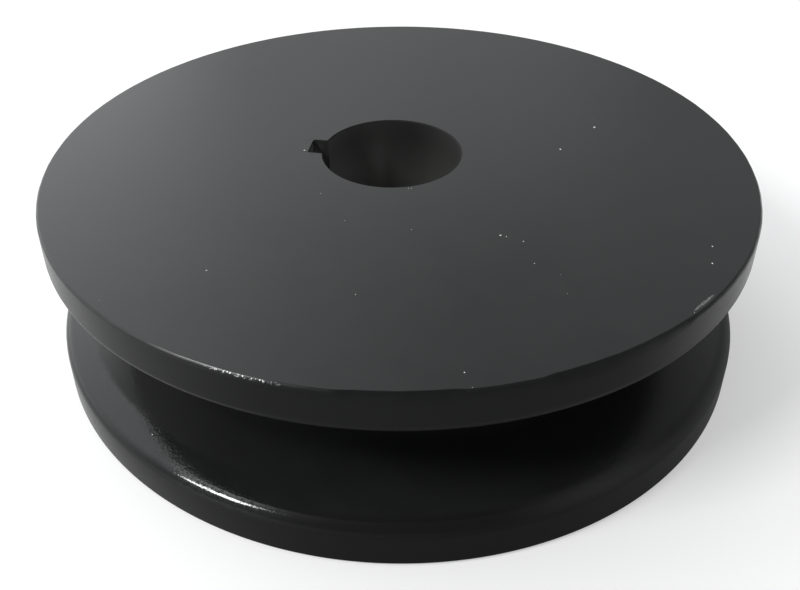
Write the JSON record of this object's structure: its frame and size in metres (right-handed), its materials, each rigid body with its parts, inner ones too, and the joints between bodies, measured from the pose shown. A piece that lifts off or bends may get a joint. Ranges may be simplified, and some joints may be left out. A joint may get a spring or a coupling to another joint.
{
  "type": "alternator pulley",
  "caption": "Turned V-belt pulley for an alternator shaft, painted black, with flat faces, straight flange rims, a deep groove with rounded lips and a plain keyed bore.",
  "frame": {"origin": "centre of the back face, on the axis of the bore", "axes": "+Z along the bore's axis towards the outer face, -X towards the keyway"},
  "size_m": [0.085, 0.085, 0.0225],
  "materials": {
    "black_paint": "satin"
  },
  "bodies": {
    "root": {"pulley": "black_paint"}
  },
  "joints": []
}
